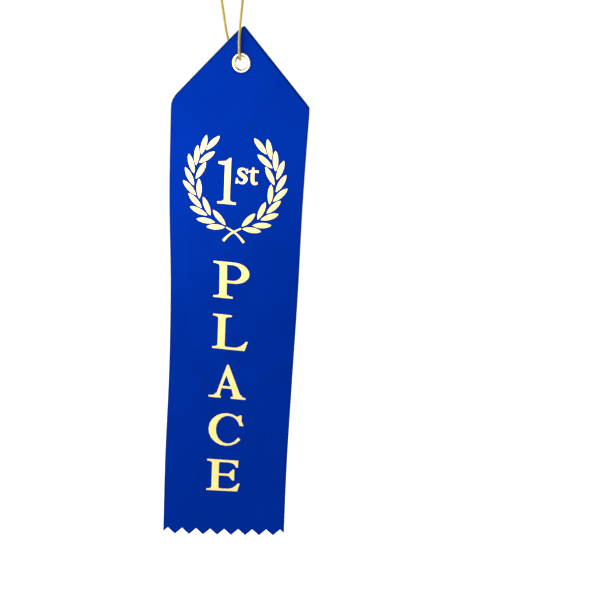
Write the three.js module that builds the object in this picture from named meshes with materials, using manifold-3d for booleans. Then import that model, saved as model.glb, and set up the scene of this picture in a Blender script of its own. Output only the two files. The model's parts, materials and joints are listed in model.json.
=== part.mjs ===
// Award ribbon: a satin ribbon with a folded, pointed head, a brass eyelet, a loop of gold cord
// and a foil print of a laurel wreath, "1st" and "PLACE" in plain serif letters.
//
// Millimetres, +Z up. The origin is the hang point, in the crotch of the cord loop under its knot.
// The ribbon hangs down -Z, its printed face looks along -Y, and +X is to the viewer's right.

import * as THREE from 'three';
import { mergeVertices } from 'three/addons/utils/BufferGeometryUtils.js';
import Module from 'manifold-3d';

const wasm = await Module();
wasm.setup();

// ---- driving dimensions ----------------------------------------------------------------------

const RIBBON_WIDTH = 50.8; // a 2 in ribbon
const RIBBON_LENGTH = 203.2; // 8 in, from the peak to the tips of the pinked edge
const HEAD_HEIGHT = 26.0; // from the peak down to the shoulders
const CLOTH = 0.4; // thickness of one layer of satin, with its print
const FLAP_GAP = 0.4; // between the front panel and the folded-back flaps
const FOLD_WIDTH = 0.6; // solid strip along each folded edge
const SEAM = 0.15; // from the panel's middle to the edge of each flap
const BULGE_LEFT = 2.45; // the left folded edge bulges here: left of the peak, and below it
const BULGE_DROP = 1.65;

const EYELET_DROP = 12.3; // from the peak down to the eyelet's centre
const PANEL_X = 0.4; // the panel's middle is this far right of the eyelet
const PRINT_X = 0; // the wreath's middle
const PEAK_Z = -55.4; // the peak, below the hang point

const HINGE_DROP = 30; // the flex line, below the flaps' lower edges
const HINGE_GAP = 0.3;

const TOOTH_PITCH = 5.89; // pinked edge
const TOOTH_DEPTH = 2.9;
const TOOTH_START = 4.9; // from the left edge to the first tip

const BARREL_INNER = 2.4; // a 3/16 in eyelet
const BARREL_OUTER = 2.65;
const FLANGE_RADIUS = 3.45;
const CURL_RADIUS = 3.4; // the barrel's rolled end, behind
const HOLE_RADIUS = 2.9; // in the satin
const RIM_GAP = 0.15; // between the satin and the flange, or the rolled end

const CORD_DIAMETER = 1.0;
const CORD_X = -0.6; // where the cord lies in the eyelet
const PIVOT_RISE = 1.2; // from the eyelet's centre to the cord's lowest centre point
const CORD_SIDES = 8;
const BEND_RADIUS = 2.2; // of the cord's turn inside the eyelet
const BEND_Y = 0.3; // the turn's middle, front to back
const BACK_LEAN = 50; // degrees, of the turn's back half to the left
const CORD_GAP = 0.3; // between the cord's separate stretches
const KNOT_RADIUS = 1.9;
const KNOT_Z = 2.3;

const FOIL = 0.1; // thickness of a foil patch
const FOIL_GAP = 0.05; // between the foil and the satin

const CAP_HEIGHT = 14.25; // letters P, L, A, C, E
const LETTER_PITCH = 20.97;
const LETTER_X = PRINT_X - 0.35; // the letters' middle
const FIRST_LETTER_DROP = 84.1; // from the peak to the top of the P
const STEM = 2.85;
const THIN = 1.0;
const SERIF = 0.75;
const BRACKET = 1.1; // the curved join between a stem and its serif

const WREATH_DROP = 53.6; // from the peak to the wreath's middle
const WREATH_HALF_WIDTH = 15.3; // of the curve that the leaves grow from
const WREATH_LOWER_HEIGHT = 17.3;
const WREATH_UPPER_HEIGHT = 15.5;
const LEAF_LENGTH = 7.3;
const LEAF_WIDTH = 1.95;
const LEAF_OFFSET = 0.4; // from the curve to a leaf's foot
// Each leaf's place along its branch, in degrees from the bottom, and how far it leans out or in.
const OUTER_LEAVES = [
  [12, 17], [27, 25], [40.5, 22], [52, 11], [69, 26], [81, 21], [96, 24], [107, 13], [123, 18],
];
const INNER_LEAVES = [[12, -33], [37.5, -26], [64, -21], [89, -31], [112, -31]];
const TIP_LEAF = [132, -1];

// Derived places.
const FRONT_Y = -CLOTH / 2; // the printed face
const BACK_Y = CLOTH / 2;
const FLAP_FRONT_Y = BACK_Y + FLAP_GAP;
const FLAP_BACK_Y = FLAP_FRONT_Y + CLOTH;
const EYELET_Z = PEAK_Z - EYELET_DROP;
const PIVOT_Z = EYELET_Z + PIVOT_RISE;
const LEFT_X = PANEL_X - RIBBON_WIDTH / 2;
const RIGHT_X = PANEL_X + RIBBON_WIDTH / 2;
const SHOULDER_Z = PEAK_Z - HEAD_HEIGHT;

// ---- materials -------------------------------------------------------------------------------

const FINISHES = {
  satin: { color: 0x0a38a8, roughness: 0.45, metalness: 0 },
  brass: { color: 0xe6cf8a, roughness: 0.25, metalness: 1 },
  cord: { color: 0xd9a821, roughness: 0.35, metalness: 0.8 },
  foil: { color: 0xf4e29a, roughness: 0.3, metalness: 1 },
};

const group = new THREE.Group();

function addMesh(name, geometry, finish) {
  const mesh = new THREE.Mesh(geometry, new THREE.MeshStandardMaterial(FINISHES[finish]));
  mesh.name = name;
  group.add(mesh);
  return mesh;
}

// ---- solids ----------------------------------------------------------------------------------

function toSolid(geometry) {
  const bare = geometry.clone();
  bare.deleteAttribute('normal');
  bare.deleteAttribute('uv');
  const merged = mergeVertices(bare, 1e-4);
  return new wasm.Manifold(new wasm.Mesh({
    numProp: 3,
    vertProperties: new Float32Array(merged.attributes.position.array),
    triVerts: new Uint32Array(merged.index.array),
  }));
}

function toGeometry(solid) {
  const mesh = solid.getMesh();
  const geometry = new THREE.BufferGeometry();
  geometry.setAttribute('position', new THREE.BufferAttribute(mesh.vertProperties, 3));
  geometry.setIndex(new THREE.BufferAttribute(mesh.triVerts, 1));
  geometry.computeVertexNormals();
  return geometry;
}

function unionOf(geometries) {
  return geometries.map(toSolid).reduce((all, solid) => all.add(solid));
}

// A flat shape, drawn with x to the right and y up, made into a plate between two Y planes.
function plate(shape, frontY, backY, curveSegments = 10) {
  const depth = backY - frontY;
  const geometry = new THREE.ExtrudeGeometry(shape, { depth, bevelEnabled: false, curveSegments });
  geometry.rotateX(Math.PI / 2);
  geometry.translate(0, backY, 0);
  return geometry;
}

function polygon(points) {
  return new THREE.Shape(points.map(([x, z]) => new THREE.Vector2(x, z)));
}

function rectangle(left, bottom, right, top) {
  return polygon([[left, bottom], [right, bottom], [right, top], [left, top]]);
}

function disc(x, z, radius) {
  return new THREE.Shape().absarc(x, z, radius, 0, 2 * Math.PI);
}

// A pen stroke along a smooth curve, with its width given at each of the curve's points.
function stroke(points, widths, steps = 16) {
  const spine = new THREE.SplineCurve(points.map(([x, z]) => new THREE.Vector2(x, z)));
  const left = [];
  const right = [];
  for (let i = 0; i <= steps; i += 1) {
    const t = i / steps;
    const place = t * (widths.length - 1);
    const index = Math.min(Math.floor(place), widths.length - 2);
    const width = THREE.MathUtils.lerp(widths[index], widths[index + 1], place - index);
    const centre = spine.getPoint(t);
    const tangent = spine.getTangent(t);
    const offset = new THREE.Vector2(-tangent.y, tangent.x).multiplyScalar(width / 2);
    left.push(centre.clone().add(offset));
    right.unshift(centre.clone().sub(offset));
  }
  return new THREE.Shape([...left, ...right]);
}

// ---- satin -----------------------------------------------------------------------------------

// The corners of a folded edge, from its shoulder up to the last one before the peak.
function foldedEdge(side) {
  const shoulder = [PANEL_X + side * RIBBON_WIDTH / 2, SHOULDER_Z];
  return side < 0 ? [shoulder, [PANEL_X - BULGE_LEFT, PEAK_Z - BULGE_DROP]] : [shoulder];
}

function makeHead() {
  const bottom = PEAK_Z - HINGE_DROP + HINGE_GAP / 2;
  const peak = [PANEL_X, PEAK_Z];
  const front = polygon([
    [LEFT_X, bottom], [RIGHT_X, bottom], ...foldedEdge(1), peak, ...foldedEdge(-1).reverse(),
  ]);
  const parts = [plate(front, FRONT_Y, BACK_Y)];
  for (const side of [-1, 1]) {
    const edge = foldedEdge(side);
    const seamX = PANEL_X + side * SEAM; // the two flaps meet behind, along the middle
    const flap = polygon([...edge, [seamX, PEAK_Z - SEAM], [seamX, SHOULDER_Z]]);
    const innerX = edge[0][0] - side * FOLD_WIDTH;
    const fold = polygon([...edge, peak, [PANEL_X, PEAK_Z - FOLD_WIDTH], [innerX, SHOULDER_Z]]);
    parts.push(plate(flap, FLAP_FRONT_Y, FLAP_BACK_Y), plate(fold, FRONT_Y, FLAP_BACK_Y));
  }
  const hole = toSolid(plate(disc(0, EYELET_Z, HOLE_RADIUS), FRONT_Y - 1, FLAP_BACK_Y + 1, 32));
  addMesh('ribbon_head', toGeometry(unionOf(parts).subtract(hole)), 'satin');
}

function makeTail() {
  const top = PEAK_Z - HINGE_DROP - HINGE_GAP / 2;
  const tips = PEAK_Z - RIBBON_LENGTH;
  const toothAt = (x) => {
    const phase = (x - LEFT_X - TOOTH_START) / TOOTH_PITCH;
    return tips + 2 * TOOTH_DEPTH * Math.abs(phase - Math.round(phase));
  };
  const firstTurn = LEFT_X + TOOTH_START % (TOOTH_PITCH / 2);
  const edge = [[LEFT_X, toothAt(LEFT_X)]];
  for (let x = firstTurn; x < RIGHT_X; x += TOOTH_PITCH / 2) {
    edge.push([x, toothAt(x)]);
  }
  edge.push([RIGHT_X, toothAt(RIGHT_X)]);
  const outline = polygon([...edge, [RIGHT_X, top], [LEFT_X, top]]);
  addMesh('ribbon_tail', plate(outline, FRONT_Y, BACK_Y), 'satin');
}

// ---- eyelet ----------------------------------------------------------------------------------

// The profile is a closed ring section: radius outwards, height along the barrel, towards the back.
function makeEyelet() {
  const flangeInner = FRONT_Y - RIM_GAP;
  const curlInner = FLAP_BACK_Y + RIM_GAP;
  const profile = [
    [BARREL_INNER, flangeInner - 0.1],
    [BARREL_INNER + 0.25, flangeInner - 0.5],
    [BARREL_INNER + 0.7, flangeInner - 0.7],
    [FLANGE_RADIUS - 0.35, flangeInner - 0.5],
    [FLANGE_RADIUS, flangeInner],
    [BARREL_OUTER, flangeInner],
    [BARREL_OUTER, curlInner],
    [CURL_RADIUS, curlInner],
    [CURL_RADIUS - 0.3, curlInner + 0.4],
    [BARREL_INNER + 0.6, curlInner + 0.55],
    [BARREL_INNER + 0.2, curlInner + 0.4],
    [BARREL_INNER, curlInner + 0.1],
  ];
  profile.push(profile[0]);
  const geometry = new THREE.LatheGeometry(profile.map(([r, y]) => new THREE.Vector2(r, y)), 32);
  const eyelet = addMesh('eyelet', geometry, 'brass');
  eyelet.position.set(0, 0, EYELET_Z);
}

// ---- cord ------------------------------------------------------------------------------------

function tube(points, steps) {
  const path = new THREE.CatmullRomCurve3(points.map(([x, y, z]) => new THREE.Vector3(x, y, z)));
  const section = new THREE.Shape();
  for (let i = 0; i < CORD_SIDES; i += 1) {
    const angle = (i / CORD_SIDES) * 2 * Math.PI;
    const place = [Math.cos(angle) * CORD_DIAMETER / 2, Math.sin(angle) * CORD_DIAMETER / 2];
    if (i === 0) section.moveTo(...place);
    else section.lineTo(...place);
  }
  return new THREE.ExtrudeGeometry(section, { steps, extrudePath: path, bevelEnabled: false });
}

// The turn inside the eyelet: a half circle from the front of the ribbon to its back, whose back
// half leans to the left. A length beyond either end goes straight on.
function bendPoint(angle, beyond = 0) {
  const lean = angle > Math.PI / 2 ? THREE.MathUtils.degToRad(BACK_LEAN) : 0;
  const rise = BEND_RADIUS * (1 - Math.sin(angle)) + beyond;
  const y = BEND_Y - BEND_RADIUS * Math.cos(angle);
  return [CORD_X - rise * Math.sin(lean), y, PIVOT_Z + rise * Math.cos(lean)];
}

// The front strand goes nearly straight up. The back strand leans out to the left, and bows back.
// Both start at the ends of the turn and end in the knot.
const FRONT_ROUTE = [
  bendPoint(0, CORD_GAP),
  [-0.68, -1.88, -62.5],
  [-0.72, -1.8, -58.5],
  [-0.5, -1.65, -53.0],
  [-0.15, -1.5, -47.5],
  [0.5, -1.1, -36.0],
  [0.9, -0.7, -23.0],
  [0.85, -0.35, -11.0],
  [0.7, -0.1, -4.0],
  [0.58, 0, 0.1],
];
const BACK_ROUTE = [
  bendPoint(Math.PI, CORD_GAP),
  [-3.4, 2.5, -63.4],
  [-4.7, 2.45, -61.6],
  [-5.75, 2.35, -59.1],
  [-6.5, 2.2, -56.2],
  [-7.2, 2.0, -52.5],
  [-8.2, 1.8, -47.2],
  [-9.2, 1.4, -39.0],
  [-8.9, 1.0, -29.0],
  [-7.0, 0.6, -18.0],
  [-3.9, 0.25, -8.5],
  [-1.6, 0.1, -2.6],
  [-0.62, 0, 0.1],
];

function makeCord() {
  const turn = [];
  for (let i = 0; i <= 8; i += 1) {
    turn.push(bendPoint((i / 8) * Math.PI));
  }
  addMesh('cord_bight', tube(turn, 12), 'cord');
  addMesh('cord_front_strand', tube(FRONT_ROUTE, 24), 'cord');
  addMesh('cord_back_strand', tube(BACK_ROUTE, 28), 'cord');

  const knot = new THREE.SphereGeometry(KNOT_RADIUS, 12, 8);
  knot.scale(1, 0.85, 1);
  addMesh('cord_knot', knot, 'cord').position.set(0, 0, KNOT_Z);

  const tailStart = KNOT_Z + KNOT_RADIUS + CORD_GAP;
  for (const [name, side] of [['cord_tail_left', -1], ['cord_tail_right', 1]]) {
    const route = [
      [side * 0.6, 0, tailStart], [side * 1.5, -0.1, tailStart + 2.8], [side * 3.0, -0.4, tailStart + 6.5],
    ];
    addMesh(name, tube(route, 4), 'cord');
  }
}

// ---- foil print ------------------------------------------------------------------------------

const FOIL_BACK_Y = FRONT_Y - FOIL_GAP;
const FOIL_FRONT_Y = FOIL_BACK_Y - FOIL;

function addFoil(name, shapes, cuts, x, z) {
  let solid = unionOf(shapes.map((shape) => plate(shape, FOIL_FRONT_Y, FOIL_BACK_Y)));
  for (const cut of cuts) {
    solid = solid.subtract(toSolid(plate(cut, FOIL_FRONT_Y - 1, FOIL_BACK_Y + 1)));
  }
  const geometry = toGeometry(solid);
  geometry.translate(x, 0, z);
  addMesh(`foil_${name}`, geometry, 'foil');
}

// A slab serif with curved brackets into the stem. Up is 1 at a stem's foot and -1 at its head.
function serif(left, right, stemLeft, stemRight, level, up) {
  const slab = level + up * SERIF;
  const join = slab + up * BRACKET;
  const shape = new THREE.Shape();
  shape.moveTo(left, level);
  shape.lineTo(right, level);
  shape.lineTo(right, slab);
  shape.quadraticCurveTo(stemRight, slab, stemRight, join);
  shape.lineTo(stemLeft, join);
  shape.quadraticCurveTo(stemLeft, slab, left, slab);
  return shape;
}

// Half of an ellipse closed to the left by a straight-sided block.
function bowl(left, straight, radiusX, bottom, top) {
  const shape = new THREE.Shape();
  shape.moveTo(left, bottom);
  shape.lineTo(straight, bottom);
  shape.absellipse(straight, (bottom + top) / 2, radiusX, (top - bottom) / 2, -Math.PI / 2, Math.PI / 2);
  shape.lineTo(left, top);
  return shape;
}

// A thin arm that ends in a spur. Up is 1 for an arm at the foot and -1 for one at the head.
function arm(start, end, spur, lean, level, up) {
  const shape = new THREE.Shape();
  shape.moveTo(start, level);
  shape.lineTo(end, level);
  shape.lineTo(end + lean, level + up * spur);
  shape.lineTo(end + lean - 0.8, level + up * spur);
  shape.quadraticCurveTo(end - 1.4, level + up * (THIN + 0.1), end - 4.2, level + up * THIN);
  shape.lineTo(start, level + up * THIN);
  return shape;
}

function ellipse(x, z, radiusX, radiusZ) {
  return new THREE.Shape().absellipse(x, z, radiusX, radiusZ, 0, 2 * Math.PI);
}

// Each letter gives the shapes to join and the shapes to cut, from its left edge and baseline.
const LETTERS = {
  P: () => ({
    shapes: [
      rectangle(2.4, 0, 2.4 + STEM, CAP_HEIGHT),
      serif(0, 7.7, 2.4, 2.4 + STEM, 0, 1),
      serif(0, 6.5, 2.4, 2.4 + STEM, CAP_HEIGHT, -1),
      bowl(4, 8.2, 5.8, 6.05, CAP_HEIGHT),
    ],
    cuts: [bowl(2.4 + STEM, 7.5, 3.5, 6.05 + THIN, CAP_HEIGHT - THIN)],
    width: 14.6,
  }),
  L: () => ({
    shapes: [
      rectangle(2.1, 0, 2.1 + STEM, CAP_HEIGHT),
      serif(0, 7.4, 2.1, 2.1 + STEM, 0, 1),
      serif(0, 7.4, 2.1, 2.1 + STEM, CAP_HEIGHT, -1),
      arm(3, 13, 3.9, 1.2, 0, 1),
    ],
    cuts: [],
    width: 14.2,
  }),
  A: () => {
    const leftEdge = (z) => 3.7 + z * 0.303;
    const rightEdge = (z) => 10.9 - z * 0.414;
    const point = (10.9 - 3.7) / (0.303 + 0.414); // where the two edges meet
    const barBottom = 4.25;
    const barTop = barBottom + THIN;
    return {
      shapes: [
        polygon([[2.5, 0], [13.5, 0], [7.5, 14.5], [6.9, 14.5]]),
        serif(-0.1, 4.9, 2.6, 3.7, 0, 1),
        serif(9.0, 15.0, 10.7, 13.3, 0, 1),
      ],
      cuts: [
        polygon([[leftEdge(barTop), barTop], [rightEdge(barTop), barTop], [leftEdge(point), point]]),
        polygon([
          [4.9, -0.1], [9, -0.1], [9, SERIF], [rightEdge(2.2), SERIF + 0.2],
          [rightEdge(barBottom), barBottom], [leftEdge(barBottom), barBottom],
          [leftEdge(2.2), SERIF + 0.2], [4.9, SERIF],
        ]),
      ],
      width: 15.3,
    };
  },
  C: () => ({
    shapes: [
      ellipse(7.3, 7.1, 7.3, 7.3),
      polygon([[11.4, 13.1], [12.6, 13.9], [13.2, 13.9], [13.4, 9.2], [12.5, 9.2], [10.9, 11.9]]),
    ],
    cuts: [
      ellipse(8.0, 7.1, 5.0, 6.3),
      polygon([[9, 7.1], [12.5, 9.2], [20, 9.2], [20, 0.6], [13.9, 2.4], [12.4, 3.8]]),
    ],
    width: 14,
  }),
  E: () => ({
    shapes: [
      rectangle(2.1, 0, 2.1 + STEM, CAP_HEIGHT),
      serif(0, 7.0, 2.1, 2.1 + STEM, 0, 1),
      serif(0, 7.0, 2.1, 2.1 + STEM, CAP_HEIGHT, -1),
      arm(3, 12.8, 3.7, 1.0, 0, 1),
      arm(3, 12.9, 3.2, -0.1, CAP_HEIGHT, -1),
      rectangle(3, 7, 10.4, 7 + THIN),
      polygon([[9.1, 7], [10.7, 5], [11.4, 5], [11.4, 10], [10.7, 10], [9.1, 7 + THIN]]),
    ],
    cuts: [],
    width: 13.9,
  }),
};

function makeLetters() {
  Object.entries(LETTERS).forEach(([letter, design], index) => {
    const { shapes, cuts, width } = design();
    const baseline = PEAK_Z - FIRST_LETTER_DROP - CAP_HEIGHT - index * LETTER_PITCH;
    addFoil(`letter_${letter}`, shapes, cuts, LETTER_X - width / 2, baseline);
  });
}

function makeRank() {
  const numeralLeft = PRINT_X - 6.65;
  const numeralFoot = PEAK_Z - 62.2;
  const one = [
    rectangle(2.7, 0, 4.95, 15.6),
    serif(0.2, 7.3, 2.7, 4.95, 0, 1),
    polygon([[0.2, 15.3], [0.2, 14.5], [2.7, 14.1], [4.95, 15.4], [4.95, 16.8], [4.3, 16.8], [3.1, 15.6]]),
  ];
  addFoil('numeral_1', one, [], numeralLeft, numeralFoot);

  const raisedFoot = PEAK_Z - 54.5;
  const s = [
    stroke(
      [[4.1, 4.7], [3.0, 5.5], [1.5, 5.2], [1.3, 3.9], [2.7, 3.0], [3.8, 2.0], [3.2, 0.7], [1.9, 0.4], [0.5, 1.2]],
      [0.4, 0.65, 1.1, 1.45, 1.55, 1.45, 1.0, 0.65, 0.5],
      28,
    ),
    polygon([[3.9, 5.6], [4.5, 5.6], [4.35, 3.9], [3.85, 3.9], [3.6, 4.9]]),
    polygon([[0, 0.1], [0.7, 0.1], [1.1, 0.9], [0.65, 2.1], [0.15, 2.1]]),
  ];
  addFoil('letter_s', s, [], PRINT_X + 0.25, raisedFoot);

  const t = [
    stroke([[1.9, 6.3], [1.75, 3.5], [1.9, 1.3], [2.6, 0.5], [3.7, 0.9]], [0.6, 1.35, 1.35, 0.95, 0.7]),
    polygon([[0, 4.7], [1.2, 5.3], [3.9, 5.3], [3.9, 4.5], [0.1, 4.5]]),
  ];
  addFoil('letter_t', t, [], PRINT_X + 4.8, raisedFoot);
}

// ---- laurel wreath ---------------------------------------------------------------------------

// A point on the curve that the leaves grow from, and the direction of growth, at an angle from
// the bottom. Side is -1 for the left branch and 1 for the right.
function branch(angle, side) {
  const height = angle < Math.PI / 2 ? WREATH_LOWER_HEIGHT : WREATH_UPPER_HEIGHT;
  const point = new THREE.Vector2(side * WREATH_HALF_WIDTH * Math.sin(angle), -height * Math.cos(angle));
  const growth = new THREE.Vector2(side * WREATH_HALF_WIDTH * Math.cos(angle), height * Math.sin(angle));
  growth.normalize();
  return { point, growth };
}

// A pointed oval from its foot, in the direction given.
function leafShape(foot, direction) {
  const across = new THREE.Vector2(-direction.y, direction.x);
  const place = (along, sideways) => foot.clone()
    .addScaledVector(direction, along * LEAF_LENGTH)
    .addScaledVector(across, sideways * LEAF_WIDTH);
  const shape = new THREE.Shape();
  const tip = place(1, 0);
  shape.moveTo(foot.x, foot.y);
  for (const [sideways, end] of [[0.67, tip], [-0.67, foot]]) {
    const [first, last] = end === tip ? [0.28, 0.78] : [0.78, 0.28];
    const a = place(first, sideways);
    const b = place(last, sideways);
    shape.bezierCurveTo(a.x, a.y, b.x, b.y, end.x, end.y);
  }
  return shape;
}

function addLeaf(name, side, [degrees, splay], offset) {
  const { point, growth } = branch(THREE.MathUtils.degToRad(degrees), side);
  const turn = THREE.MathUtils.degToRad(splay) * -side;
  const outward = new THREE.Vector2(side * growth.y, -side * growth.x);
  const foot = point.addScaledVector(outward, offset);
  const direction = growth.rotateAround(new THREE.Vector2(), turn);
  addFoil(name, [leafShape(foot, direction)], [], PRINT_X, PEAK_Z - WREATH_DROP);
}

function makeWreath() {
  for (const [word, side] of [['left', -1], ['right', 1]]) {
    OUTER_LEAVES.forEach((leaf, i) => addLeaf(`leaf_${word}_outer_${i + 1}`, side, leaf, LEAF_OFFSET));
    INNER_LEAVES.forEach((leaf, i) => addLeaf(`leaf_${word}_inner_${i + 1}`, side, leaf, -LEAF_OFFSET));
    addLeaf(`leaf_${word}_tip`, side, TIP_LEAF, 0);
  }
  const stems = [-1, 1].map((side) => stroke(
    [[side * 2.85, -17.3], [side * 0.2, -18.7], [-side * 1.9, -20.2], [-side * 4.0, -22.5]],
    [0.5, 0.6, 0.7, 1.0],
  ));
  addFoil('wreath_stems', stems, [], PRINT_X, PEAK_Z - WREATH_DROP);
}

makeHead();
makeTail();
makeEyelet();
makeCord();
makeRank();
makeLetters();
makeWreath();

export default group;
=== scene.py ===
"""Award ribbon: satin strip with a folded, pointed head, foil print, brass eyelet and gold cord loop.

Metres, in the CAD's own frame: the origin is the hang point, in the crotch of the cord loop, +Z is
up, and the printed face looks along -Y.
"""

import json
import math

import bmesh
import bpy
import numpy as np
from mathutils import Matrix, Vector


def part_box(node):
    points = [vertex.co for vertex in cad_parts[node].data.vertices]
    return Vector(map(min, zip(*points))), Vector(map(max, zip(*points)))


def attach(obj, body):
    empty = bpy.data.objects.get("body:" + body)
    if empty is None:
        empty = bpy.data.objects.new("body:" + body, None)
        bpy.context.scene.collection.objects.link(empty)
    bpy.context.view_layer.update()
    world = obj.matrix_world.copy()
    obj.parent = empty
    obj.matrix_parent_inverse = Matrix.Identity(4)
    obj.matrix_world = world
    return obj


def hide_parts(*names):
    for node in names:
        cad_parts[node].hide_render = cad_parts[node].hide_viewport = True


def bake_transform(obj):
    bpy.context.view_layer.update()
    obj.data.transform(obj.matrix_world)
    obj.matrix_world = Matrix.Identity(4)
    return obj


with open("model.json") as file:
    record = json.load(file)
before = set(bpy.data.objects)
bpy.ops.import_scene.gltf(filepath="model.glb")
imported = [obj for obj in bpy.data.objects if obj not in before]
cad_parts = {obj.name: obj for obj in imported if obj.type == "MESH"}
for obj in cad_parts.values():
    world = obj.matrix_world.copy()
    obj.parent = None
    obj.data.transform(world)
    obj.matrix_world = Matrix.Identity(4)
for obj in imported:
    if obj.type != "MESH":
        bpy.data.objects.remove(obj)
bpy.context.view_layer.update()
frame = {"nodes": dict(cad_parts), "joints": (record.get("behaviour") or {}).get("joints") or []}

MM = 0.001

# ---- places that the CAD model gives -----------------------------------------------------------

HEAD_LOW, HEAD_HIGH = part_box("ribbon_head")
TAIL_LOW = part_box("ribbon_tail")[0]
EYELET_LOW, EYELET_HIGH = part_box("eyelet")
KNOT_LOW, KNOT_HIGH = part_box("cord_knot")

PANEL_X = (HEAD_LOW.x + HEAD_HIGH.x) / 2
HALF_WIDTH = (HEAD_HIGH.x - HEAD_LOW.x) / 2
PEAK_Z = HEAD_HIGH.z
LENGTH = PEAK_Z - TAIL_LOW.z
FACE_Y = TAIL_LOW.y  # the printed face
EYELET = (EYELET_LOW + EYELET_HIGH) / 2
JOINTS = {joint["name"]: Vector(joint["pos_m"]) for joint in frame["joints"]}

# ---- the cord's route, as the CAD model has it -------------------------------------------------

CORD_DIAMETER = 1.0 * MM
TURN_RADIUS = 2.2 * MM
TURN_Y = 0.3 * MM
TURN_LEAN = math.radians(50)
TURN_STEPS = 8
FRONT_STRAND = [
    (0.00058, 0, 0.0001), (0.0007, -0.0001, -0.004), (0.00085, -0.00035, -0.011),
    (0.0009, -0.0007, -0.023), (0.0005, -0.0011, -0.036), (-0.00015, -0.0015, -0.0475),
    (-0.0005, -0.00165, -0.053), (-0.00072, -0.0018, -0.0585), (-0.00068, -0.00188, -0.0625),
]
BACK_STRAND = [
    (-0.0034, 0.0025, -0.0634), (-0.0047, 0.00245, -0.0616), (-0.00575, 0.00235, -0.0591),
    (-0.0065, 0.0022, -0.0562), (-0.0072, 0.002, -0.0525), (-0.0082, 0.0018, -0.0472),
    (-0.0092, 0.0014, -0.039), (-0.0089, 0.001, -0.029), (-0.007, 0.0006, -0.018),
    (-0.0039, 0.00025, -0.0085), (-0.0016, 0.0001, -0.0026), (-0.00062, 0, 0.0001),
]


def turn_points():
    """The turn inside the eyelet: a half circle whose back half leans to the left."""
    pivot = JOINTS["ribbon_swing"]
    points = []
    for i in range(TURN_STEPS + 1):
        angle = math.pi * i / TURN_STEPS
        lean = TURN_LEAN if angle > math.pi / 2 else 0
        rise = TURN_RADIUS * (1 - math.sin(angle))
        y = TURN_Y - TURN_RADIUS * math.cos(angle)
        points.append((pivot.x - rise * math.sin(lean), y, pivot.z + rise * math.cos(lean)))
    return points


# ---- helpers -----------------------------------------------------------------------------------

CUT_TOLERANCE = 1e-7
SAME_PLACE = 1e-6


def smooth_path(points, spacing):
    """Points a set distance apart on a smooth curve through the given ones."""
    points = np.array(points, float)
    gaps = np.linalg.norm(np.diff(points, axis=0), axis=1)
    place = np.concatenate([[0], np.cumsum(gaps)])
    count = max(2, round(place[-1] / spacing)) + 1
    wanted = np.linspace(0, place[-1], count)
    return np.stack([hermite(place, column, wanted) for column in points.T], axis=1)


def hermite(places, values, wanted):
    """A smooth curve's values at the wanted places, through the given values at the given places."""
    slopes = np.gradient(values, places)
    i = np.clip(np.searchsorted(places, wanted, side="right") - 1, 0, len(places) - 2)
    step = places[i + 1] - places[i]
    t = (wanted - places[i]) / step
    rise = t * t * (3 - 2 * t)
    start_slope = t * (1 - t) ** 2 * step * slopes[i]
    end_slope = t * t * (t - 1) * step * slopes[i + 1]
    return values[i] + (values[i + 1] - values[i]) * rise + start_slope + end_slope


def path_frames(path):
    """Two directions square to a path and to each other at each of its points, with no twist between
    one point and the next."""
    tangents = np.gradient(path, axis=0)
    tangents /= np.linalg.norm(tangents, axis=1, keepdims=True)
    normal = np.cross(tangents[0], (0.0, 1.0, 0.0))
    normals = []
    for tangent in tangents:
        normal = normal - tangent * np.dot(normal, tangent)
        normal = normal / np.linalg.norm(normal)
        normals.append(normal)
    normals = np.array(normals)
    return normals, np.cross(tangents, normals)


def add_tube(bm, uv_layer, path, radius, sides):
    """A round tube with closed ends along a path. Its UVs are metres along and around it. Returns the
    rings of vertices."""
    normals, binormals = path_frames(path)
    along = np.concatenate([[0], np.cumsum(np.linalg.norm(np.diff(path, axis=0), axis=1))])
    rings = []
    for centre, normal, binormal in zip(path, normals, binormals):
        ring = []
        for side in range(sides):
            angle = 2 * math.pi * side / sides
            offset = radius * (math.cos(angle) * normal + math.sin(angle) * binormal)
            ring.append(bm.verts.new(centre + offset))
        rings.append(ring)
    around = 2 * math.pi * radius / sides
    for i in range(len(rings) - 1):
        for side in range(sides):
            following = (side + 1) % sides
            face = bm.faces.new(
                (rings[i][side], rings[i][following], rings[i + 1][following], rings[i + 1][side])
            )
            corners = ((i, side), (i, side + 1), (i + 1, side + 1), (i + 1, side))
            for loop, (row, column) in zip(face.loops, corners):
                loop[uv_layer].uv = (column * around, along[row])
            face.smooth = True
    bm.faces.new(list(reversed(rings[0])))
    bm.faces.new(rings[-1])
    return rings


def add_object(name, mesh, *materials):
    """A new object in the scene. Its mesh takes the materials' slots in the order given."""
    for material in materials:
        mesh.materials.append(material)
    piece = bpy.data.objects.new(name, mesh)
    bpy.context.scene.collection.objects.link(piece)
    return piece


def mesh_from(bm, name):
    """A new mesh of what the bmesh holds. The bmesh is freed."""
    mesh = bpy.data.meshes.new(name)
    bm.to_mesh(mesh)
    bm.free()
    return mesh


# ---- camera ------------------------------------------------------------------------------------

# The camera's place and angles are the results of a least-squares fit to points of the photograph,
# made outside this script for the lens chosen here.
SENSOR_WIDTH = 36  # in millimetres, as the lens is
LENS = 39
CAMERA_PLACE = (0.04512, -0.24079, -0.08781)
CAMERA_YAW = math.radians(4.453)
CAMERA_PITCH = math.radians(-14.971)
CAMERA_ROLL = math.radians(-3.850)


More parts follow.
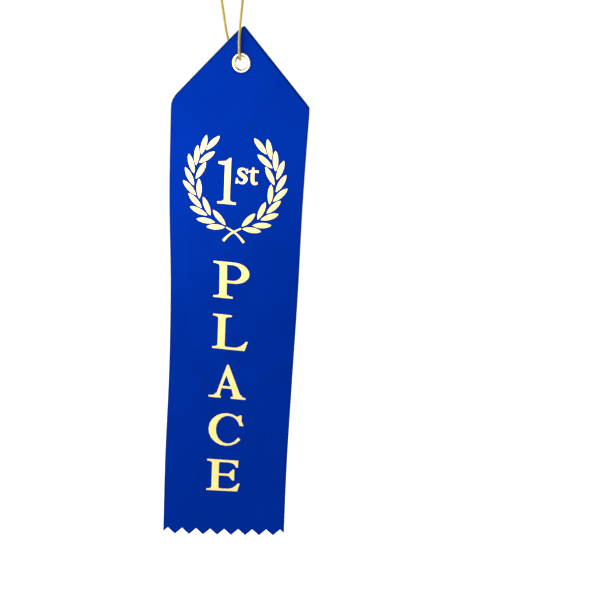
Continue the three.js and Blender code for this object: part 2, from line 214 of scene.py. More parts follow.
def add_camera():
    """A camera close in front of the ribbon, beside its right edge and tilted down."""
    data = bpy.data.cameras.new("camera")
    data.sensor_width = SENSOR_WIDTH
    data.lens = LENS
    data.clip_start = 0.01
    camera = bpy.data.objects.new("camera", data)
    bpy.context.scene.collection.objects.link(camera)
    yaw = Matrix.Rotation(CAMERA_YAW, 4, "Z")
    pitch = Matrix.Rotation(CAMERA_PITCH, 4, "X")
    roll = Matrix.Rotation(CAMERA_ROLL, 4, "Y")
    level = Matrix.Rotation(math.radians(90), 4, "X")
    camera.matrix_world = Matrix.Translation(CAMERA_PLACE) @ yaw @ pitch @ roll @ level
    bpy.context.scene.camera = camera


# ---- materials ---------------------------------------------------------------------------------


class Shader:
    """A new material's node tree, with short calls to add and link nodes."""

    def __init__(self, name, **settings):
        self.material = bpy.data.materials.new(name)
        self.material.use_nodes = True
        self.tree = self.material.node_tree
        self.surface = self.tree.nodes["Principled BSDF"]
        for socket, value in settings.items():
            self.surface.inputs[socket.replace("_", " ")].default_value = value

    def node(self, kind, inputs=None, **properties):
        node = self.tree.nodes.new(kind)
        for name, value in properties.items():
            setattr(node, name, value)
        for name, value in (inputs or {}).items():
            if isinstance(value, bpy.types.NodeSocket):
                self.tree.links.new(value, node.inputs[name])
            else:
                node.inputs[name].default_value = value
        return node

    def into_surface(self, socket, output):
        self.tree.links.new(output, self.surface.inputs[socket])

    def coordinates(self, uv_name, scale, rotation=0.0):
        """A UV map in metres, turned and then scaled."""
        uv = self.node("ShaderNodeUVMap", uv_map=uv_name)
        turned = {"Vector": uv.outputs["UV"], "Scale": scale, "Rotation": (0, 0, rotation)}
        return self.node("ShaderNodeMapping", turned).outputs["Vector"]

    def noise(self, vector, scale, detail=3.0):
        settings = {"Vector": vector, "Scale": scale, "Detail": detail}
        return self.node("ShaderNodeTexNoise", settings).outputs["Fac"]

    def ramp(self, value, low, high, low_colour, high_colour):
        """One colour where the value is low or less, another where it is high or more."""
        ramp = self.node("ShaderNodeValToRGB", {"Fac": value})
        first, last = ramp.color_ramp.elements
        first.position, first.color = low, (*low_colour, 1)
        last.position, last.color = high, (*high_colour, 1)
        return ramp.outputs["Color"]

    def remap(self, value, low, high, to_low, to_high):
        """The value's range from low to high stretched over another one, and held at its ends."""
        limits = {"Value": value, "From Min": low, "From Max": high, "To Min": to_low, "To Max": to_high}
        return self.node("ShaderNodeMapRange", limits).outputs["Result"]

    def mix(self, share, first, second, blend="MIX"):
        node = self.node("ShaderNodeMix", data_type="RGBA", blend_type=blend)
        for index, value in ((0, share), (6, first), (7, second)):
            if isinstance(value, bpy.types.NodeSocket):
                self.tree.links.new(value, node.inputs[index])
            else:
                node.inputs[index].default_value = value
        return node.outputs[2]

    def bump(self, height, strength, distance, normal=None):
        settings = {"Height": height, "Strength": strength, "Distance": distance}
        if normal is not None:
            settings["Normal"] = normal
        return self.node("ShaderNodeBump", settings).outputs["Normal"]


WARP_FLOAT = 0.6 * MM  # length of one warp thread's run over the weft
WARP_PITCH = 0.12 * MM
SATIN_DARK = (0.0003, 0.0120, 0.1500)
SATIN_BLUE = (0.0004, 0.0225, 0.2750)
# A darker navy, painted along the folds and side edges as shade
CREASE_SHADE_BLUE = (0.0006, 0.0060, 0.0300)
FOIL_DEEP = (0.86, 0.60, 0.16)
FOIL_PALE = (1.0, 0.87, 0.38)
BRASS_WORN = (0.93, 0.80, 0.52)
BRASS_BRIGHT = (1.0, 0.91, 0.68)
# A dark brown painted inside the eyelet's hole as shade and dark reflection
BRASS_SHADE_BROWN = (0.13, 0.06, 0.008)
THREAD_DEEP = (0.26, 0.17, 0.015)
THREAD_BRIGHT = (1.0, 0.84, 0.24)
# A dark brown painted into the grooves between plies as shade
GROOVE_SHADE_BROWN = (0.10, 0.055, 0.004)
WHITE = (1.0, 1.0, 1.0)


def satin_weave(shader):
    """The threads' runs over each other, staggered as in satin: 0 between threads and 1 on them."""
    across = shader.coordinates("strip", (1, 1, 1), math.pi / 2)
    weave = shader.node(
        "ShaderNodeTexBrick",
        {
            "Vector": across,
            "Scale": 1.0,
            "Mortar Size": WARP_PITCH * 0.18,
            "Mortar Smooth": 1.0,
            "Brick Width": WARP_FLOAT,
            "Row Height": WARP_PITCH,
        },
        offset=0.4,
        offset_frequency=2,
    )
    return shader.remap(weave.outputs["Fac"], 0, 1, 1, 0)


def satin_material(name, roughness, metallic, lightness, bump):
    """Woven satin with streaks along its length, soft clouds of tone, and painted shade along its creases
    and side edges.
    """
    shader = Shader(name, Specular_IOR_Level=0.0, Anisotropic=0.5)
    shader.surface.inputs["Specular Tint"].default_value = (0.01, 0.10, 0.60, 1)
    shader.surface.inputs["Sheen Weight"].default_value = 0.08
    shader.surface.inputs["Sheen Roughness"].default_value = 0.45
    shader.surface.inputs["Sheen Tint"].default_value = (0.01, 0.12, 1.0, 1)
    dark = tuple(lightness * c for c in SATIN_DARK)
    blue = tuple(lightness * c for c in SATIN_BLUE)
    weave = satin_weave(shader)
    streaks = shader.noise(shader.coordinates("strip", (3000, 60, 1)), 1.0)
    cloud = shader.noise(shader.coordinates("strip", (60, 60, 1)), 1.0, detail=2)
    colour = shader.ramp(streaks, 0.1, 0.8, tuple(0.88 * c for c in blue), tuple(1.08 * c for c in blue))
    cloud_tone = shader.ramp(cloud, 0.3, 0.7, (0.94, 0.94, 0.94), (1.04, 1.04, 1.04))
    colour = shader.mix(1.0, colour, cloud_tone, "MULTIPLY")
    colour = shader.mix(shader.remap(weave, 0, 1, 0.45, 0), colour, (*dark, 1))
    # Painted shade: towards the folds and side edges the colour goes to a darker navy and the metallic
    # reflection fades
    crease_shade = shader.node("ShaderNodeAttribute", attribute_name="crease_shade").outputs["Fac"]
    colour = shader.mix(crease_shade, colour, (*CREASE_SHADE_BLUE, 1))
    shader.into_surface("Base Color", colour)
    shader.into_surface("Metallic", shader.remap(crease_shade, 0, 0.6, metallic, 0))
    rough = shader.remap(streaks, 0.2, 0.8, roughness - 0.05, roughness + 0.07)
    shader.into_surface("Roughness", rough)
    slub = shader.bump(streaks, 0.25 * bump, 0.05 * MM)
    shader.into_surface("Normal", shader.bump(weave, bump, 0.02 * MM, slub))
    return shader.material


def edge_material():
    """The cut and woven edges: thread ends, side by side, whose tones reach down to the darker navy
    painted as crease shade.
    """
    shader = Shader("satin_edge", Roughness=0.8, Specular_IOR_Level=0.05)
    ends = shader.noise(shader.coordinates("strip", (6000, 6000, 1)), 1.0, detail=2)
    # Partly painted shade: the darker end of these random tones is the crease shade's navy
    shader.into_surface("Base Color", shader.ramp(ends, 0.3, 0.7, CREASE_SHADE_BLUE, SATIN_BLUE))
    shader.into_surface("Normal", shader.bump(ends, 0.4, 0.03 * MM))
    return shader.material


def foil_material():
    """Foil with a fine grain, pressed on so that the weave shows through it."""
    shader = Shader("gold_foil", Metallic=1.0)
    grain = shader.noise(shader.coordinates("strip", (9000, 4500, 1)), 1.0, detail=2)
    patches = shader.noise(shader.coordinates("strip", (260, 260, 1)), 1.0, detail=3)
    colour = shader.ramp(grain, 0.32, 0.58, FOIL_DEEP, FOIL_PALE)
    tone = shader.ramp(patches, 0.3, 0.7, (0.95, 0.92, 0.85), WHITE)
    shader.into_surface("Base Color", shader.mix(1.0, colour, tone, "MULTIPLY"))
    shader.into_surface("Roughness", shader.remap(grain, 0.3, 0.7, 0.5, 0.36))
    pressed = shader.bump(satin_weave(shader), 0.25, 0.01 * MM)
    shader.into_surface("Normal", shader.bump(grain, 0.2, 0.01 * MM, pressed))
    return shader.material


def brass_material():
    """Polished brass with light wear, and painted shade in dark brown inside the hole."""
    shader = Shader("eyelet_brass", Metallic=1.0)
    place = shader.node("ShaderNodeTexCoord").outputs["Object"]
    wear = shader.noise(place, 900, detail=4)
    scratches = shader.noise(place, 4000, detail=2)
    hole_shade = shader.node("ShaderNodeAttribute", attribute_name="hole_shade").outputs["Fac"]
    colour = shader.ramp(wear, 0.35, 0.65, BRASS_WORN, BRASS_BRIGHT)
    # Painted shade: inside the barrel the brass goes to a dark brown, in place of the hole's shade and
    # dark reflections
    colour = shader.mix(hole_shade, colour, (*BRASS_SHADE_BROWN, 1))
    shader.into_surface("Base Color", colour)
    shader.into_surface("Roughness", shader.remap(scratches, 0.3, 0.7, 0.16, 0.3))
    shader.into_surface("Normal", shader.bump(scratches, 0.1, 0.01 * MM))
    return shader.material


def cord_material():
    """Metallic thread: filaments that run along each ply, with painted shade in brown between them."""
    shader = Shader("gold_cord", Metallic=0.75)
    along = shader.coordinates("ply", (1, 1, 1), math.radians(-28))
    filaments = shader.node(
        "ShaderNodeTexWave",
        {"Vector": along, "Scale": 1900.0, "Distortion": 1.2, "Detail": 2.0},
        bands_direction="X",
    ).outputs["Fac"]
    glitter = shader.noise(shader.coordinates("ply", (5000, 2500, 1)), 1.0, detail=2)
    colour = shader.ramp(filaments, 0.1, 0.7, THREAD_DEEP, THREAD_BRIGHT)
    outside = shader.node("ShaderNodeAttribute", attribute_name="outside").outputs["Fac"]
    # Painted shade: the grooves between the plies are mixed to a dark brown
    colour = shader.mix(shader.remap(outside, 0.15, 0.8, 0.92, 0), colour, (*GROOVE_SHADE_BROWN, 1))
    tone = shader.ramp(glitter, 0.3, 0.7, (0.75, 0.70, 0.6), WHITE)
    shader.into_surface("Base Color", shader.mix(1.0, colour, tone, "MULTIPLY"))
    shader.into_surface("Roughness", shader.remap(glitter, 0.3, 0.7, 0.42, 0.26))
    shader.into_surface("Normal", shader.bump(filaments, 0.6, 0.03 * MM))
    return shader.material


# ---- the hanging satin -------------------------------------------------------------------------

# The strip's slight curves, as values at stations down it. The first station is at the peak, and the
# last at the tips of the pinked edge. DRIFT and the first five values of TURNED are rounded results of
# the fit that gave the camera. The other values started from it or from nothing, and were set one by one.
STATIONS = np.array([0, 30, 60, 95, 130, 170, 203.2]) * MM
STANDS_BACK = np.array([0, -0.3, -1.5, -1.7, -0.9, -0.6, -1.2]) * MM  # negative is forwards
TURNED = np.array([-0.01, -0.05, -0.07, -0.05, 0.0, 0.09, 0.16])  # slope backwards to the right
DRIFT = np.array([0.2, -0.4, -0.4, 0.4, 0.3, -0.3, 0.2]) * MM  # to the right
NARROWED = np.array([0, 0, 0.1, 0.6, 0.7, 0.2, 0]) * MM  # how far the right edge curls in
CUPPED = np.array([-0.6, -0.6, -0.3, 0.9, 1.3, 1.2, 0.4]) * MM  # edges further back than the middle


def satin_place(across, down, behind):
    """The place of a point of the strip: across it from its middle, down it from its peak, and behind
    its printed face. All three are arrays, in metres."""
    relief = hermite(STATIONS, STANDS_BACK, down)
    relief = relief + across * hermite(STATIONS, TURNED, down)
    relief = relief + (across / HALF_WIDTH) ** 2 * hermite(STATIONS, CUPPED, down)
    curl = np.clip(across / HALF_WIDTH, 0, None) ** 2 * hermite(STATIONS, NARROWED, down)
    x = PANEL_X + across - curl + hermite(STATIONS, DRIFT, down)
    return np.stack([x, FACE_Y + relief + behind, PEAK_Z - down], axis=1)


CLOTH = 0.25 * MM
HEAD_HEIGHT = 26.0 * MM
FOLD_RADIUS = 0.42 * MM  # of the printed face, round each folded edge
FLAP_SCALE = 0.975  # the flaps just meet along the middle
FLAP_LIFT = 0.25 * MM  # at the corner of each flap that is furthest from its fold
CREASE_REACH = 1.6 * FOLD_RADIUS  # of the painted crease shade, to each side of a fold's middle
BULGE = 0.65 * MM  # of the left folded edge
BULGE_START = 1.2 * MM  # along the fold from the peak, over which the bulge grows
BULGE_REACH = 7.0 * MM  # into the panel from the fold, over which it fades
SHOULDERS = ((-1, 0.55 * MM), (1, 0.15 * MM))  # each side, and how far its shoulder is drawn in
SHOULDER_REACH = 1.3 * MM
GRIP_RADIUS = 3.2 * MM  # of the cloth that the eyelet holds, from the middle of its hole
GRIP_FADE = 2.2 * MM
FRONT_DRAWN_BACK = 0.06 * MM
FLAPS_DRAWN_IN = 0.12 * MM
HOLE_RADIUS = 2.9 * MM
HOLE_EDGE_REACH = 1.2 * MM  # vertices this close to the hole are moved to its edge
TOOTH_PITCH = 5.89 * MM
TOOTH_DEPTH = 2.9 * MM
TOOTH_START = 4.9 * MM
COLUMNS_PER_TOOTH = 8
ROW_STEP = 0.9 * MM
LAST_ROWS = 16  # they turn gradually from straight across to the line of the teeth
LAST_ROWS_HEIGHT = 14 * MM
FOLD_CUTS = np.array([-1.0, -0.6, -0.3, 0, 0.3, 0.6, 1.0]) * FOLD_RADIUS
SELVAGE = 0.35 * MM  # width of the tighter woven edge
SELVAGE_SHADE = 0.6  # of the painted shade at a crease, given to the woven side edges


def tooth_edge(across):
    """How far down the strip the pinked edge is, across it."""
    phase = (across + HALF_WIDTH - TOOTH_START) / TOOTH_PITCH
    return LENGTH - 2 * TOOTH_DEPTH * abs(phase - round(phase))


def strip_columns():
    """Where the mesh's columns are across the strip. One is at each tooth's tip and at each notch."""
    step = TOOTH_PITCH / COLUMNS_PER_TOOTH
    first = TOOTH_START % step
    columns = [-HALF_WIDTH, -HALF_WIDTH + first / 2]
    place = -HALF_WIDTH + first
    while place < HALF_WIDTH - step / 4:
        columns.append(place)
        place += step
    columns.append(HALF_WIDTH)
    return columns


def fold_normal(side):
    """The line of a fold runs from the middle of the strip's top edge to the shoulder on that side.
    This is the direction in the strip's plane from that line to the front panel."""
    slope = math.hypot(HALF_WIDTH, HEAD_HEIGHT)
    return np.array([-side * HEAD_HEIGHT / slope, HALF_WIDTH / slope])


def flat_strip():
    """The strip as it is cut, in its own plane, with mesh edges along both folds."""
    bm = bmesh.new()
    straight = LENGTH - LAST_ROWS_HEIGHT
    rows = np.linspace(0, straight, round(straight / ROW_STEP) + 1)
    last_rows = np.linspace(0, 1, LAST_ROWS + 1)[1:]
    columns = strip_columns()
    grid = []
    for across in columns:
        downs = list(rows) + [straight + (tooth_edge(across) - straight) * t for t in last_rows]
        grid.append([bm.verts.new((across, down, 0)) for down in downs])
    for left, right in zip(grid, grid[1:]):
        for i in range(len(left) - 1):
            bm.faces.new((left[i], left[i + 1], right[i + 1], right[i]))
    for side in (-1, 1):
        normal = fold_normal(side)
        for offset in FOLD_CUTS:
            geometry = bm.verts[:] + bm.edges[:] + bm.faces[:]
            bmesh.ops.bisect_plane(
                bm,
                geom=geometry,
                dist=CUT_TOLERANCE,
                plane_co=(normal[0] * offset, normal[1] * offset, 0),
                plane_no=(normal[0], normal[1], 0),
            )
    return bm


def folded(across, down):
    """Where each point of the flat strip lies once its corners are folded behind: across, down and
    behind, and how near it is to a fold, from 0 to 1."""
    side = np.where(across < 0, -1.0, 1.0)
    normal = np.stack([fold_normal(s) for s in side])
    distance = across * normal[:, 0] + down * normal[:, 1]
    bend = np.clip(distance / FOLD_RADIUS, -1, 1) * math.pi / 2
    inward = np.where(
        np.abs(distance) < FOLD_RADIUS, FOLD_RADIUS * (1 - np.cos(bend)), np.abs(distance)
    )
    foot_across = across - distance * normal[:, 0]
    foot_down = down - distance * normal[:, 1]
    shrink = np.where(distance < 0, FLAP_SCALE, 1.0)
    near_middle = np.clip(np.abs(across) / FOLD_RADIUS, 0, 1)
    shift = inward * shrink - np.abs(distance)
    new_across = foot_across + (np.abs(distance) + shift * near_middle) * normal[:, 0]
    new_down = foot_down + inward * shrink * normal[:, 1]
    lift = np.clip(-distance / (HALF_WIDTH / math.sqrt(2)), 0, 1) ** 1.5 * FLAP_LIFT
    behind = FOLD_RADIUS * (1 - np.sin(bend)) + lift
    nearness = np.clip(1 - np.abs(distance) / CREASE_REACH, 0, 1)
    return new_across, new_down, behind, nearness


def bulge_left_fold(across, down):
    """The left folded edge bows outwards, most of all near the peak."""
    normal = fold_normal(-1)
    slope = math.hypot(HALF_WIDTH, HEAD_HEIGHT)
    along = down * normal[0] - across * normal[1]
    distance = across * normal[0] + down * normal[1]
    growth = 1 - np.exp(-np.clip(along, 0, None) / BULGE_START)
    decline = np.clip(1 - along / slope, 0, 1)
    fade = np.exp(-((distance / BULGE_REACH) ** 2))
    amount = BULGE * growth * decline * fade
    return across - amount * normal[0], down - amount * normal[1]


def soften_shoulders(across, down):
    """The left shoulder is rounded off, and the right one stays sharper."""
    for side, amount in SHOULDERS:
        gap = np.hypot(across - side * HALF_WIDTH, down - HEAD_HEIGHT)
        across = across - side * amount * np.exp(-((gap / SHOULDER_REACH) ** 2))
    return across


def pinch(across, down, behind):
    """The eyelet grips the layers: the front one is drawn in around it, and the flaps lie close. Also
    returns how far each point is from the middle of the hole."""
    gap = np.hypot(across - (EYELET.x - PANEL_X), down - (PEAK_Z - EYELET.z))
    grip = np.exp(-(np.clip(gap - GRIP_RADIUS, 0, None) / GRIP_FADE) ** 2)
    on_front = behind < FOLD_RADIUS
    drawn = np.where(on_front, FRONT_DRAWN_BACK, -FLAPS_DRAWN_IN)
    fade = np.clip(np.abs(behind - FOLD_RADIUS) / FOLD_RADIUS, 0, 1)
    return behind + drawn * grip * fade, gap


def add_satin(front, back, edge):
    """The whole strip in one piece: folded, curved, pierced and given its thickness."""
    bm = flat_strip()
    flat = np.array([v.co[:2] for v in bm.verts])
    across, down, behind, fold = folded(flat[:, 0], flat[:, 1])
    across, down = bulge_left_fold(across, down)
    across = soften_shoulders(across, down)
    behind, gap = pinch(across, down, behind)
    places = satin_place(across, down, behind)
    side_edge = np.clip(1 - (HALF_WIDTH - np.abs(flat[:, 0])) / SELVAGE, 0, 1)
    # Painted shade: this attribute holds how much darker navy each point takes, fully at the folds and
    # less along the side edges
    crease_shade = bm.verts.layers.float.new("crease_shade")
    uv_layer = bm.loops.layers.uv.new("strip")
    for face in bm.faces:
        face.smooth = True
        for loop in face.loops:
            loop[uv_layer].uv = loop.vert.co[:2]
    bm.verts.ensure_lookup_table()
    for vert, place, near_fold, near_side in zip(bm.verts, places, fold, side_edge):
        vert.co = place
        vert[crease_shade] = max(near_fold, SELVAGE_SHADE * near_side)
    cut_hole(bm, gap)
    mesh = mesh_from(bm, "ribbon_satin")
    piece = add_object("ribbon_satin", mesh, front, back, edge)
    thicken(piece)
    return piece


def cut_hole(bm, gap):
    """The eyelet's hole, through the front panel and both flaps. Its edge is under the flange."""
    inside = [f for f in bm.faces if np.mean([gap[v.index] for v in f.verts]) < HOLE_RADIUS]
    bmesh.ops.delete(bm, geom=inside, context="FACES")
    for vert in bm.verts:
        if vert.is_boundary:
            out = Vector((vert.co.x - EYELET.x, 0, vert.co.z - EYELET.z))
            if out.length < HOLE_RADIUS + HOLE_EDGE_REACH:
                vert.co += out.normalized() * (HOLE_RADIUS - out.length)


def thicken(piece):
    """Gives the cloth its thickness, away from the printed face."""
    solid = piece.modifiers.new("thickness", "SOLIDIFY")
    solid.thickness = CLOTH
    solid.offset = -1
    solid.use_quality_normals = True
    solid.material_offset = 1
    solid.material_offset_rim = 2
    bpy.context.view_layer.update()
    solid_piece = piece.evaluated_get(bpy.context.evaluated_depsgraph_get())
    mesh = bpy.data.meshes.new_from_object(solid_piece)
    piece.modifiers.clear()
    piece.data = mesh


# ---- foil print --------------------------------------------------------------------------------

FOIL_BACK = -0.006 * MM  # behind the printed face
FOIL_FRONT = -0.04 * MM
FOIL_STEP = 1.0 * MM  # between the cuts that let a patch follow the satin
FOIL_PREFIX = "foil_"


def cut_grid(bm, low, high):
    """Cuts a mesh along x and z every step, so that it can follow the satin's curves."""
    for axis in (0, 2):
        normal = [0, 0, 0]
        normal[axis] = 1
        first = math.ceil(low[axis] / FOIL_STEP)
        last = math.floor(high[axis] / FOIL_STEP)
        for i in range(first, last + 1):
            point = [0, 0, 0]
            point[axis] = i * FOIL_STEP
            geometry = bm.verts[:] + bm.edges[:] + bm.faces[:]
            bmesh.ops.bisect_plane(bm, geom=geometry, dist=CUT_TOLERANCE, plane_co=point, plane_no=normal)


def add_foil(node, material):
    """A foil patch in its CAD outline, laid on the curved satin."""
    low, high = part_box(node)
    bm = bmesh.new()
    bm.from_mesh(frame["nodes"][node].data)
    bmesh.ops.remove_doubles(bm, verts=bm.verts[:], dist=SAME_PLACE)
    bmesh.ops.dissolve_limit(bm, angle_limit=0.01, verts=bm.verts[:], edges=bm.edges[:])
    cut_grid(bm, low, high)
    bmesh.ops.triangulate(bm, faces=[f for f in bm.faces if len(f.verts) > 4])
    uv_layer = bm.loops.layers.uv.new("strip")
    for face in bm.faces:
        face.smooth = True
        for loop in face.loops:
            loop[uv_layer].uv = (loop.vert.co.x - PANEL_X, PEAK_Z - loop.vert.co.z)
    co = np.array([v.co for v in bm.verts])
    middle_y = (low.y + high.y) / 2
    behind = np.where(co[:, 1] < middle_y, FOIL_FRONT, FOIL_BACK)
    places = satin_place(co[:, 0] - PANEL_X, PEAK_Z - co[:, 2], behind)
    for vert, place in zip(bm.verts, places):
        vert.co = place
    mesh = mesh_from(bm, node.replace(FOIL_PREFIX, "print_"))
    mesh.set_sharp_from_angle(angle=math.radians(40))
    piece = add_object(mesh.name, mesh, material)
    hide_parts(node)
    return piece


# ---- eyelet ------------------------------------------------------------------------------------

EYELET_STEPS = 64
METAL = 0.22 * MM
BORE = 2.4 * MM  # radius of the hole, in front
BARREL_TAPER = 0.22 * MM  # the bore narrows by this much towards the back
CURL = 0.5 * MM  # radius of the rolled end's section
FLANGE_BACK = FACE_Y - 0.06 * MM
FLANGE_RISE = 0.62 * MM
FLANGE_STEPS = 12
THROAT = 0.3 * MM  # behind the flange's back, where the barrel's straight wall starts
# The painted brown shade inside the hole: where it starts, how deep it grows, and where it fades out
HOLE_SHADE_START = FACE_Y - 0.35 * MM
HOLE_SHADE_DEPTH = 0.3 * MM  # over which it grows to its full strength
HOLE_SHADE_RADIUS = BORE + 0.05 * MM  # inside which it is full, if it is deep enough
HOLE_SHADE_FADE = 0.25 * MM


def arc(centre_r, centre_y, radius, start, end, steps):
    """Points of an arc in the eyelet's section: radius out from the hole's axis, and place along Y."""
    points = []
    for i in range(steps + 1):
        angle = math.radians(start + (end - start) * i / steps)
        points.append((centre_r + radius * math.cos(angle), centre_y + radius * math.sin(angle)))
    return points


def eyelet_section():
    """A closed outline: a domed flange in front, a barrel, and an end rolled outwards behind."""
    flange_radius = EYELET_HIGH.x - EYELET.x
    dome = (flange_radius - BORE) / 2
    front = []
    for i in range(FLANGE_STEPS + 1):
        angle = math.pi * i / FLANGE_STEPS
        front.append((BORE + dome + dome * math.cos(angle), FLANGE_BACK - FLANGE_RISE * math.sin(angle)))
    curl_y = FACE_Y + 2 * FOLD_RADIUS + CURL
    curl_r = BORE - BARREL_TAPER + CURL
    wall = [(BORE, FLANGE_BACK + THROAT), (BORE - BARREL_TAPER / 2, (FLANGE_BACK + curl_y) / 2)]
    curl = arc(curl_r, curl_y, CURL, 180, -20, 12)
    inner_curl = arc(curl_r, curl_y, CURL - METAL, -20, 180, 8)
    neck = (BORE + METAL, FLANGE_BACK + 0.05 * MM)
    rim = (flange_radius - METAL, FLANGE_BACK + 0.02 * MM)
    return front + wall + curl + inner_curl + [neck, rim]


def hole_shade_at(radius, y):
    """How much of the painted brown shade the metal takes: fully so in the barrel, and none on the
    flange's dome.
    """
    deep = min(1, max(0, (y - HOLE_SHADE_START) / HOLE_SHADE_DEPTH))
    inside = min(1, max(0, 1 - (radius - HOLE_SHADE_RADIUS) / HOLE_SHADE_FADE))
    return deep * inside


def add_eyelet(material):
    """The eyelet's section, turned round the axis of its hole."""
    section = eyelet_section()
    bm = bmesh.new()
    hole_shade = bm.verts.layers.float.new("hole_shade")
    rings = []
    for step in range(EYELET_STEPS):
        angle = 2 * math.pi * step / EYELET_STEPS
        ring = []
        for radius, y in section:
            place = (EYELET.x + radius * math.cos(angle), y, EYELET.z + radius * math.sin(angle))
            vert = bm.verts.new(place)
            vert[hole_shade] = hole_shade_at(radius, y)
            ring.append(vert)
        rings.append(ring)
    count = len(section)
    for step in range(EYELET_STEPS):
        ring, following = rings[step], rings[(step + 1) % EYELET_STEPS]
        for i in range(count):
            j = (i + 1) % count
            face = bm.faces.new((ring[i], ring[j], following[j], following[i]))
            face.smooth = True
    bmesh.ops.recalc_face_normals(bm, faces=bm.faces[:])
    mesh = mesh_from(bm, "eyelet_metal")
    mesh.set_sharp_from_angle(angle=math.radians(60))
    piece = add_object("eyelet_metal", mesh, material)
    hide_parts("eyelet")
    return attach(piece, "head")


# ---- cord --------------------------------------------------------------------------------------

PLIES = 3
PLY_RADIUS = 0.265 * MM
PLY_OFFSET = CORD_DIAMETER / 2 - PLY_RADIUS
LAY_LENGTH = 2.8 * MM  # of one full turn of the plies
STEPS_PER_LAY = 16
GROOVE_REACH = 0.6  # of the cord's radius, to the bottom of the grooves
PLY_SIDES = 8


def add_twisted(bm, uv_layer, points):
    """Plies twisted round a smooth path through the points. Returns the path. The attribute is 0 in the
    grooves between the plies and 1 on the outside of the cord."""
    outside = bm.verts.layers.float.get("outside") or bm.verts.layers.float.new("outside")
    path = smooth_path(points, LAY_LENGTH / STEPS_PER_LAY)
    normals, binormals = path_frames(path)
    turns = 2 * math.pi * np.arange(len(path)) / STEPS_PER_LAY
    for ply in range(PLIES):
        angles = (turns + 2 * math.pi * ply / PLIES)[:, None]
        ply_path = path + PLY_OFFSET * (np.cos(angles) * normals + np.sin(angles) * binormals)
        for centre, ring in zip(path, add_tube(bm, uv_layer, ply_path, PLY_RADIUS, PLY_SIDES)):
            for vert in ring:
                reach = (vert.co - Vector(centre)).length / (CORD_DIAMETER / 2)
                vert[outside] = min(1, max(0, (reach - GROOVE_REACH) / (1 - GROOVE_REACH)))
    return path


def add_cord(material):
    bm = bmesh.new()
    uv_layer = bm.loops.layers.uv.new("ply")
    path = add_twisted(bm, uv_layer, FRONT_STRAND + turn_points() + BACK_STRAND)
    piece = add_object("cord_loop", mesh_from(bm, "cord_loop"), material)
    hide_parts("cord_front_strand", "cord_bight", "cord_back_strand")
    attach(piece, "cord")
    return piece, path


KNOT_SCALE = 0.62 * MM
KNOT_TURNS = np.linspace(-2.05, 2.05, 41)
KNOT_FLATTENING = 2.4  # the turn at which the knot's depth would come down to nothing
STRAND_GAP = 0.5 * MM  # of each strand from the pair's middle
ENTRY = (0.6 * MM, -0.3 * MM)  # where the strands reach the knot: to each side of, and below, the crotch


def knot_strand(side):
    """One strand's way through an overhand knot, from the loop below it to its free tail. Its curve is
    the polynomial form of an overhand knot, squeezed from side to side and front to back."""
    t = KNOT_TURNS
    x = t**3 - 3 * t
    y = t**4 - 4 * t**2
    z = t**5 / 5 - 2 * t
    to_right = 0.42 * y + 0.6 + 0.25 * z
    to_back = 0.75 * z * (1 - (t / KNOT_FLATTENING) ** 2)
    knot = np.stack([to_right, to_back, 0.9 * x], axis=1) * KNOT_SCALE
    middle = (KNOT_LOW.z + KNOT_HIGH.z) / 2
    knot += (side * STRAND_GAP, 0, middle)
    return knot


def add_knot(material):
    bm = bmesh.new()
    uv_layer = bm.loops.layers.uv.new("ply")
    for side in (-1, 1):
        knot = knot_strand(side)
        tail_low, tail_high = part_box("cord_tail_left" if side < 0 else "cord_tail_right")
        tail_x = tail_low.x if side < 0 else tail_high.x
        end = (tail_x, tail_low.y, tail_high.z)
        entry = (side * ENTRY[0], 0, ENTRY[1])
        add_twisted(bm, uv_layer, [entry, *knot.tolist(), end])
    piece = add_object("cord_overhand_knot", mesh_from(bm, "cord_overhand_knot"), material)
    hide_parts("cord_knot", "cord_tail_left", "cord_tail_right")
    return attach(piece, "cord")


# ---- surroundings ------------------------------------------------------------------------------

SEEN_STRENGTH = 1.02  # of the world, as the camera sees it
LIGHT_STRENGTH = 0.3  # of the world, as a source of light
FLOOR_DROP = 0.25  # below the tips
FLOOR_RADIUS = 6
FLOOR_SHADOW_PATCH = (0, -0.55, 0)  # the middle of the floor's painted shadow, a patch where it glows less


def add_area_light(name, place, target, size, power):
    """A rectangular light at a place, aimed at a target."""
    data = bpy.data.lights.new(name, "AREA")
    data.shape = "RECTANGLE"
    data.size, data.size_y = size
    data.energy = power
    light = bpy.data.objects.new(name, data)
    bpy.context.scene.collection.objects.link(light)
    light.visible_camera = False
    light.location = place
    light.rotation_euler = (Vector(target) - Vector(place)).to_track_quat("-Z", "Y").to_euler()


def add_world():
    """A white studio, plainly white behind the object and dimmer as a source of light."""
    world = bpy.data.worlds.new("studio")
    bpy.context.scene.world = world
    world.use_nodes = True
    nodes, links = world.node_tree.nodes, world.node_tree.links
    nodes.clear()
    seen = nodes.new("ShaderNodeBackground")
    seen.inputs["Color"].default_value = (1, 1, 1, 1)
    seen.inputs["Strength"].default_value = SEEN_STRENGTH
    lighting = nodes.new("ShaderNodeBackground")
    lighting.inputs["Color"].default_value = (1, 1, 1, 1)
    lighting.inputs["Strength"].default_value = LIGHT_STRENGTH
    ray = nodes.new("ShaderNodeLightPath")
    mix = nodes.new("ShaderNodeMixShader")
    output = nodes.new("ShaderNodeOutputWorld")
    links.new(ray.outputs["Is Camera Ray"], mix.inputs["Fac"])
    links.new(lighting.outputs["Background"], mix.inputs[1])
    links.new(seen.outputs["Background"], mix.inputs[2])
    links.new(mix.outputs["Shader"], output.inputs["Surface"])


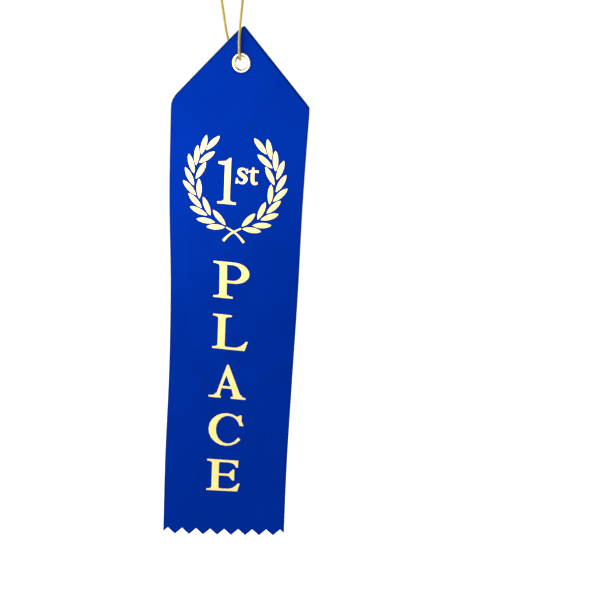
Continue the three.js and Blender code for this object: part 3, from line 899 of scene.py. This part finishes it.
def add_floor():
    """White paper that glows of itself, apart from a soft painted shadow in front of the object, where it
    glows less.
    """
    shader = Shader("floor_paper", Base_Color=(0.9, 0.9, 0.9, 1), Roughness=0.9, Specular_IOR_Level=0.1)
    shader.surface.inputs["Emission Color"].default_value = (1, 1, 1, 1)
    place = shader.node("ShaderNodeTexCoord").outputs["Object"]
    ends = {0: place, 1: FLOOR_SHADOW_PATCH}
    distance = shader.node("ShaderNodeVectorMath", ends, operation="DISTANCE").outputs["Value"]
    # Painted shadow: the floor's glow is dimmed in a soft patch in front of the object
    shader.into_surface("Emission Strength", shader.remap(distance, 0.2, 0.75, 0.25, 0.78))
    bm = bmesh.new()
    bmesh.ops.create_circle(bm, cap_ends=True, segments=96, radius=FLOOR_RADIUS)
    bm.transform(Matrix.Translation((0, 0, TAIL_LOW.z - FLOOR_DROP)))
    add_object("floor", mesh_from(bm, "floor"), shader.material)


def add_lights():
    """Soft lights at the left and in front, and weaker ones behind."""
    middle = (PANEL_X, 0, (PEAK_Z + TAIL_LOW.z) / 2)
    head = (PANEL_X, 0, PEAK_Z - HEAD_HEIGHT)
    add_area_light("key_softbox", (-0.11, -0.1, -0.1), head, (0.08, 0.14), 0.15)
    add_area_light("front_softbox", (-0.35, -1.0, 0.12), middle, (0.6, 0.4), 4.6)
    add_area_light("rear_softbox", (0.15, 0.16, -0.05), head, (0.1, 0.2), 0.25)
    add_area_light("back_fill", (0.5, 0.9, 0.35), middle, (0.8, 0.8), 5)


# ---- build -------------------------------------------------------------------------------------

add_camera()
cord_gold = cord_material()
cord_loop, cord_path = add_cord(cord_gold)
knot = add_knot(cord_gold)

satin_front = satin_material("satin_front", roughness=0.44, metallic=0.35, lightness=1.0, bump=0.35)
satin_back = satin_material("satin_back", roughness=0.62, metallic=0.1, lightness=0.85, bump=0.5)
satin = add_satin(satin_front, satin_back, edge_material())
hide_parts("ribbon_head", "ribbon_tail")

eyelet = add_eyelet(brass_material())

foil_gold = foil_material()
foil_nodes = [node for node in sorted(frame["nodes"]) if node.startswith(FOIL_PREFIX)]
prints = [add_foil(node, foil_gold) for node in foil_nodes]
for piece in [satin, *prints]:
    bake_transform(piece)

add_world()
add_floor()
add_lights()
bpy.context.scene.view_settings.view_transform = "Standard"
